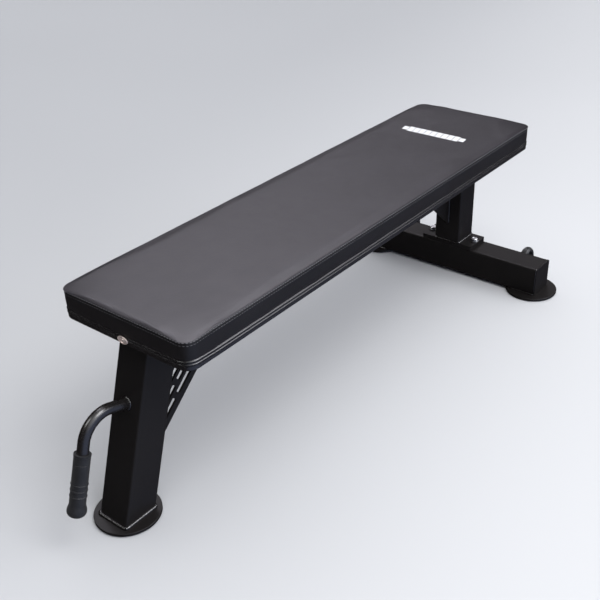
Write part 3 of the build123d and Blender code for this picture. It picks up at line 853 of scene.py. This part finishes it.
def make_flange_bolts():
    """Hex bolts with a chamfered head, a raised ring on it and a plain shank."""
    low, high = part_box("flange_bolts")
    middle_x = (low.x + high.x) / 2
    around = 48
    for tag, y in (("left", high.y - HEAD_HALF), ("right", low.y + HEAD_HALF)):
        columns = []
        for k in range(around):
            angle = 2 * math.pi * k / around
            corner = HEAD_HALF / math.cos(angle % (math.pi / 3) - math.pi / 6)
            # distance from the axis, and height from the top of the head
            outline = [
                (SHANK_RADIUS, low.z - high.z), (SHANK_RADIUS, -HEAD_DEPTH), (corner, -HEAD_DEPTH),
                (corner, -0.5 * MM - 0.9 * (corner - HEAD_HALF)), (HEAD_HALF * 0.94, 0.0),
                (HEAD_HALF * 0.74, 0.0), (HEAD_HALF * 0.70, -0.4 * MM), (1.0 * MM, -0.4 * MM),
            ]
            across, along = math.cos(angle), math.sin(angle)
            columns.append([
                Vector((middle_x + size * across, y + size * along, high.z + z)) for size, z in outline
            ])
        mesh = ring_mesh(f"flange_bolt_{tag}", list(zip(*columns)), capped=True)
        piece = add_piece(f"flange_bolt_{tag}", mesh, "zinc", smooth=False)
        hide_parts("flange_bolts")


# ---------------------------------------------------------------- welds

WELD_STEP = 0.8 * MM          # between the rings of a bead
WELD_END = 3 * MM             # how far a bead tapers at its ends
RIPPLE_PITCH = 2.7 * MM
RIPPLE_LOW = 0.86             # share of the radius where a ripple starts
RIPPLE_RISE = 0.24            # and how much it gains by its end
RIPPLE_BEND = 0.18            # how far a ripple curves, as a share of the pitch
LUMPS = 90                    # of an uneven bead, per metre
GUSSET_WELD = 2.2 * MM        # radius


def resample(path, closed, step):
    """Evenly spaced points along a path."""
    loop = [Vector(p) for p in path] + ([Vector(path[0])] if closed else [])
    total = sum((b - a).length for a, b in zip(loop, loop[1:]))
    count = spread(total, step)
    gap = total / count
    made, travelled, target = [], 0.0, 0.0
    for a, b in zip(loop, loop[1:]):
        span = (b - a).length
        while target <= travelled + span + 1e-9 and len(made) < count + (0 if closed else 1):
            made.append(a.lerp(b, min(1.0, (target - travelled) / span)))
            target += gap
        travelled += span
    return made


def weld(name, path, closed=False, radius=2.6 * MM, wander=0.12):
    """Rippled bead along a path of points, half sunk in the corner that it fills."""
    line = resample(path, closed, WELD_STEP)
    around = 8
    rings = []
    for index, place in enumerate(line):
        before = line[index - 1] if index or closed else line[index]
        after = line[(index + 1) % len(line)] if index + 1 < len(line) or closed else line[index]
        along = (after - before).normalized()
        side = along.orthogonal().normalized()
        other = along.cross(side)
        drift = noise.noise(place * LUMPS) * wander
        end = 1.0
        if not closed:
            left = min(index, len(line) - 1 - index) * WELD_STEP
            end = math.sqrt(min(1.0, 0.15 + left / WELD_END))
        ring = []
        for k in range(around):
            angle = 2 * math.pi * k / around
            phase = (index * WELD_STEP / RIPPLE_PITCH + RIPPLE_BEND * math.cos(2 * angle)) % 1.0
            scale = radius * end * (RIPPLE_LOW + RIPPLE_RISE * phase + drift)
            ring.append(place + side * math.cos(angle) * scale + other * math.sin(angle) * scale)
        rings.append(ring)
    mesh = ring_mesh(name, rings, closed_profile=closed, capped=not closed)
    add_piece(name, mesh, "weld_paint")


def rounded_loop(low_x, high_x, low_y, high_y, z, radius=TUBE_CORNER, steps=5):
    """Level outline of a square tube, with round corners."""
    made = []
    middles = [
        (high_x - radius, high_y - radius), (low_x + radius, high_y - radius),
        (low_x + radius, low_y + radius), (high_x - radius, low_y + radius),
    ]
    for index, (x, y) in enumerate(middles):
        for i in range(steps + 1):
            angle = math.radians(90 * index + 90 * i / steps)
            made.append(Vector((x + radius * math.cos(angle), y + radius * math.sin(angle), z)))
    return made


def make_post_welds():
    """Beads round the feet of both posts."""
    half = TUBE / 2
    low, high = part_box("front_post")
    foot = rounded_loop(high.x - POST_DEPTH, high.x, -half, half, low.z + 0.6 * MM)
    weld("weld_front_base", foot, closed=True, radius=4.4 * MM)
    low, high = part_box("rear_post")
    foot = rounded_loop(low.x, high.x, -half, half, low.z + 0.5 * MM)
    weld("weld_rear_base", foot, closed=True)


def make_handle_weld():
    """Fish-scale ring where the handle tube meets the leaning post."""
    out = Vector((math.cos(LEAN), 0, math.sin(LEAN)))
    up = Vector((-math.sin(LEAN), 0, math.cos(LEAN)))
    low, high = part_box("front_post")
    face_x = high.x - math.tan(LEAN) * (HANDLE_ROOT_Z - low.z)
    centre = Vector((face_x, 0, HANDLE_ROOT_Z)) + out * 0.6 * MM
    around = 36
    loop = []
    for i in range(around):
        angle = 2 * math.pi * i / around
        offset = up * math.cos(angle) + Vector((0, 1, 0)) * math.sin(angle)
        loop.append(centre + offset * HANDLE_RADIUS)
    weld("weld_handle", loop, closed=True, radius=3.6 * MM, wander=0.2)


def make_beam_welds():
    """Beads up both ends of the main beam, on both sides."""
    low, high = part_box("main_beam")
    lean = math.tan(LEAN) * (high.z - low.z)
    for tag, side in SIDES:
        y = side * TUBE / 2
        rear_end = [(low.x, y, low.z + 4 * MM), (low.x, y, high.z - 4 * MM)]
        front_end = [(high.x, y, low.z + 3 * MM), (high.x - lean, y, high.z - 3 * MM)]
        weld(f"weld_beam_rear_{tag}", rear_end)
        weld(f"weld_beam_front_{tag}", front_end)


def make_gusset_welds():
    """Beads along the two welded edges of each gusset, on both sides."""
    low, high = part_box("front_gusset")
    rear_low, rear_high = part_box("rear_gusset")
    for tag, side in SIDES:
        y = side * high.y
        foot = Vector((high.x, y, low.z))
        top = Vector((high.x - math.tan(LEAN) * (high.z - low.z), y, high.z))
        runs = {
            "front_gusset_post": (foot.lerp(top, 0.03), foot.lerp(top, 0.97)),
            "front_gusset_beam": ((low.x + 4 * MM, y, high.z), (top.x - 6 * MM, y, high.z)),
            "rear_gusset_post": (
                (rear_low.x, y, rear_low.z + 4 * MM), (rear_low.x, y, rear_high.z - 5 * MM),
            ),
            "rear_gusset_beam": (
                (rear_low.x + 5 * MM, y, rear_high.z), (rear_high.x - 4 * MM, y, rear_high.z),
            ),
        }
        for name, run in runs.items():
            weld(f"weld_{name}_{tag}", run, radius=GUSSET_WELD)


def make_cross_foot_welds():
    """Beads between the cross foot and its discs, and round its end plates."""
    low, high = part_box("cross_foot")
    reach = math.sqrt(DISC_RADIUS ** 2 - (TUBE / 2) ** 2) - 10 * MM
    for tag, side in SIDES:
        disc_low, disc_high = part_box(f"foot_disc_rear_{tag}")
        middle_y = (disc_low.y + disc_high.y) / 2
        start = middle_y - side * reach
        end = min(middle_y + reach, high.y) if side > 0 else max(middle_y - reach, low.y)
        z = disc_high.z + 0.5 * MM
        for face, x in (("front", high.x), ("back", low.x)):
            weld(f"weld_disc_{tag}_{face}", [(x, start, z), (x, end, z)], radius=2.5 * MM)
        plate_low, plate_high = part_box(f"cross_end_plate_{tag}")
        joint = plate_low.y if side > 0 else plate_high.y
        level = rounded_loop(plate_low.x, plate_high.x, plate_low.z, plate_high.z, joint)
        ring = [Vector((p.x, joint, p.y)) for p in level]
        weld(f"weld_cross_end_{tag}", ring, closed=True, radius=1.1 * MM)


def make_welds():
    make_post_welds()
    make_handle_weld()
    make_beam_welds()
    make_gusset_welds()
    make_cross_foot_welds()


# ---------------------------------------------------------------- assembly

def paint_cad_nodes():
    """Each node gets its slot's material, and the handle tube a glossier paint."""
    for row in frame["record"]["subparts"]:
        node = frame["nodes"][row["node"]]
        material = MATERIALS[row["material_slot"]]
        if row["node"] == "handle_tube":
            material = MATERIALS["handle_paint"]
        if not node.material_slots:
            node.data.materials.append(material)
        for holder in node.material_slots:
            holder.material = material


def write_sizes():
    """Puts the CAD model's box and the visual model's box into plain lists."""
    boxes = {"cad": CAD_BOX, "visual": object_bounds()}
    plain = {name: [list(corner) for corner in box] for name, box in boxes.items()}


MATERIALS = make_materials()
make_camera()
make_studio()
paint_cad_nodes()
top_panel = make_top_panel()
make_side_band()
make_lower_trim()
make_stitches()
make_staples()
make_mark(top_panel)
make_eyelet()
make_flange_bolts()
make_welds()
write_sizes()
